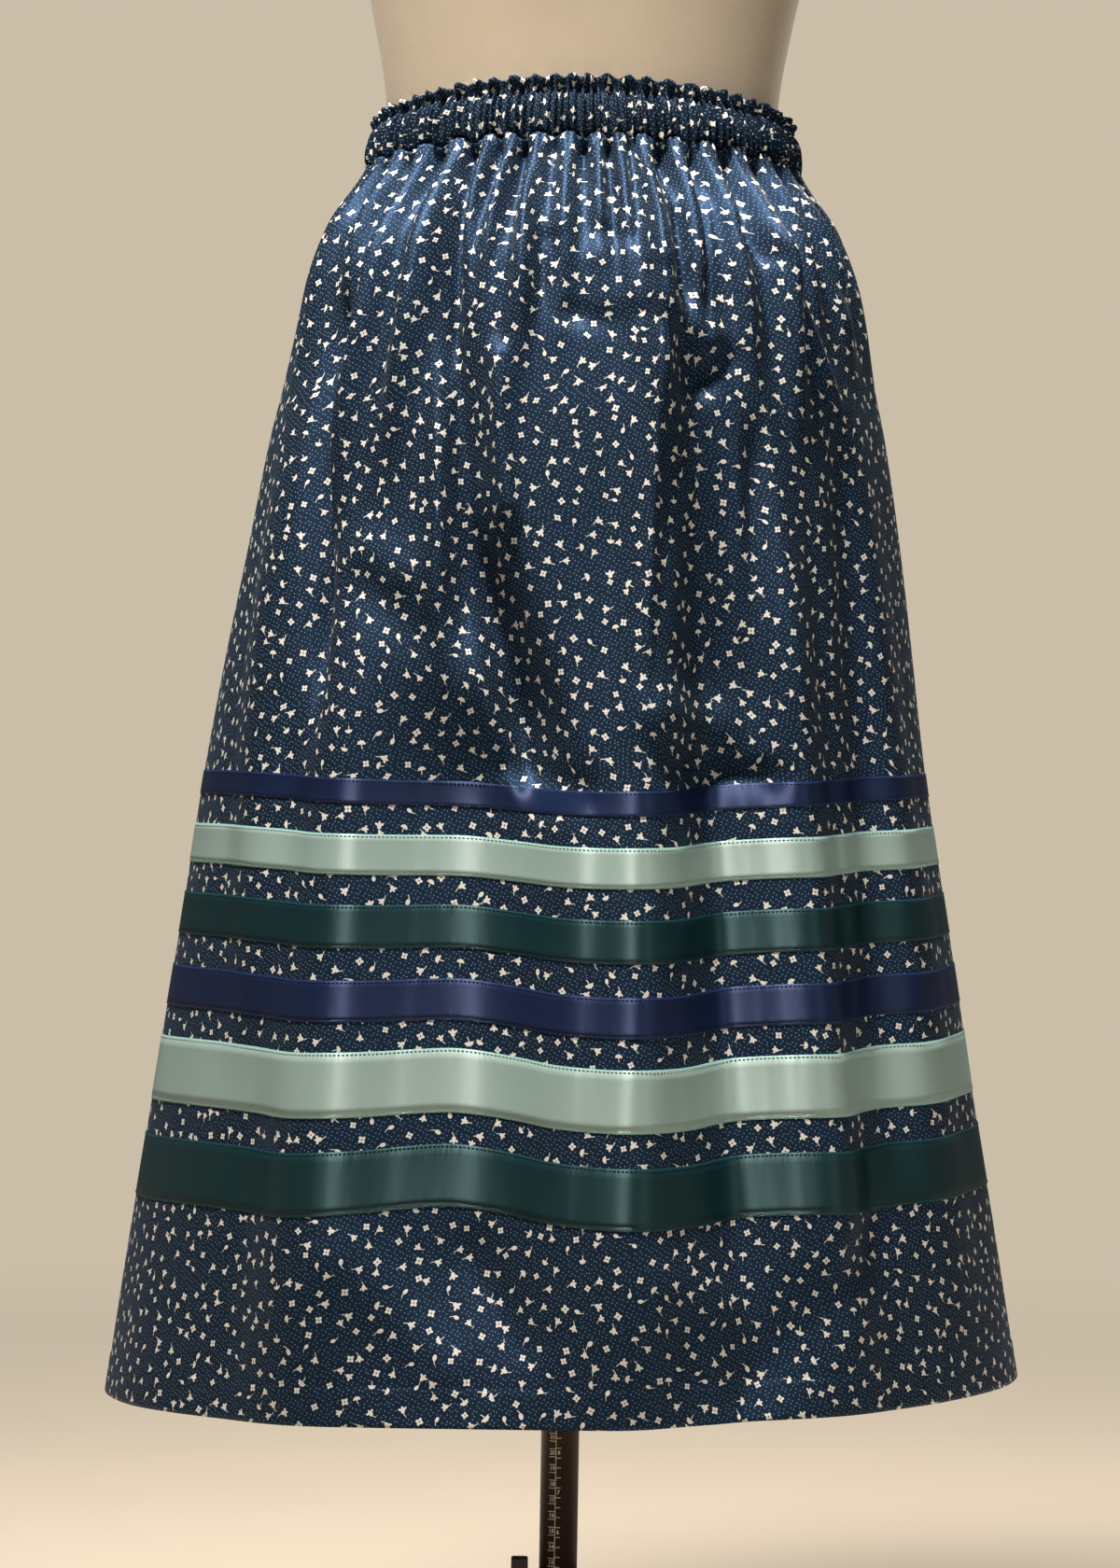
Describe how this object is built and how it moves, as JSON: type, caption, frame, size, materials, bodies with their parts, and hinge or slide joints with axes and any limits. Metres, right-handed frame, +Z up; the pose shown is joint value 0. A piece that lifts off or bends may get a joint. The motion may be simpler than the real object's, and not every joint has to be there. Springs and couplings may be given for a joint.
{
  "type": "ribbon skirt on dress form",
  "caption": "Gathered ankle-length cotton skirt with bands of satin ribbon, worn by a limbless dress form on a scaled pole and cross base.",
  "frame": {"origin": "on the floor, at the pole's axis", "axes": "+Z up along the pole, -Y out of the skirt's front, +X the wearer's left"},
  "size_m": [0.61, 0.61, 1.52],
  "materials": {
    "floral_cotton": "printed plain-weave cotton",
    "navy_satin": "satin ribbon",
    "mint_satin": "satin ribbon",
    "green_satin": "satin ribbon",
    "form_jersey": "fine knit cover",
    "pole_paint": "semi-gloss",
    "base_paint": "satin"
  },
  "bodies": {
    "root": {"skirt_front": "floral_cotton", "skirt_back": "floral_cotton", "waist_casing": "floral_cotton", "ribbon_1": "navy_satin", "ribbon_2": "mint_satin", "ribbon_3": "green_satin", "ribbon_4": "navy_satin", "ribbon_5": "mint_satin", "ribbon_6": "green_satin", "form_torso": "form_jersey", "form_flange": "base_paint", "pole": "pole_paint", "base_hub": "base_paint", "base_leg_1": "base_paint", "base_leg_2": "base_paint", "base_leg_3": "base_paint", "base_leg_4": "base_paint", "clamp_lever": "base_paint"}
  },
  "joints": []
}
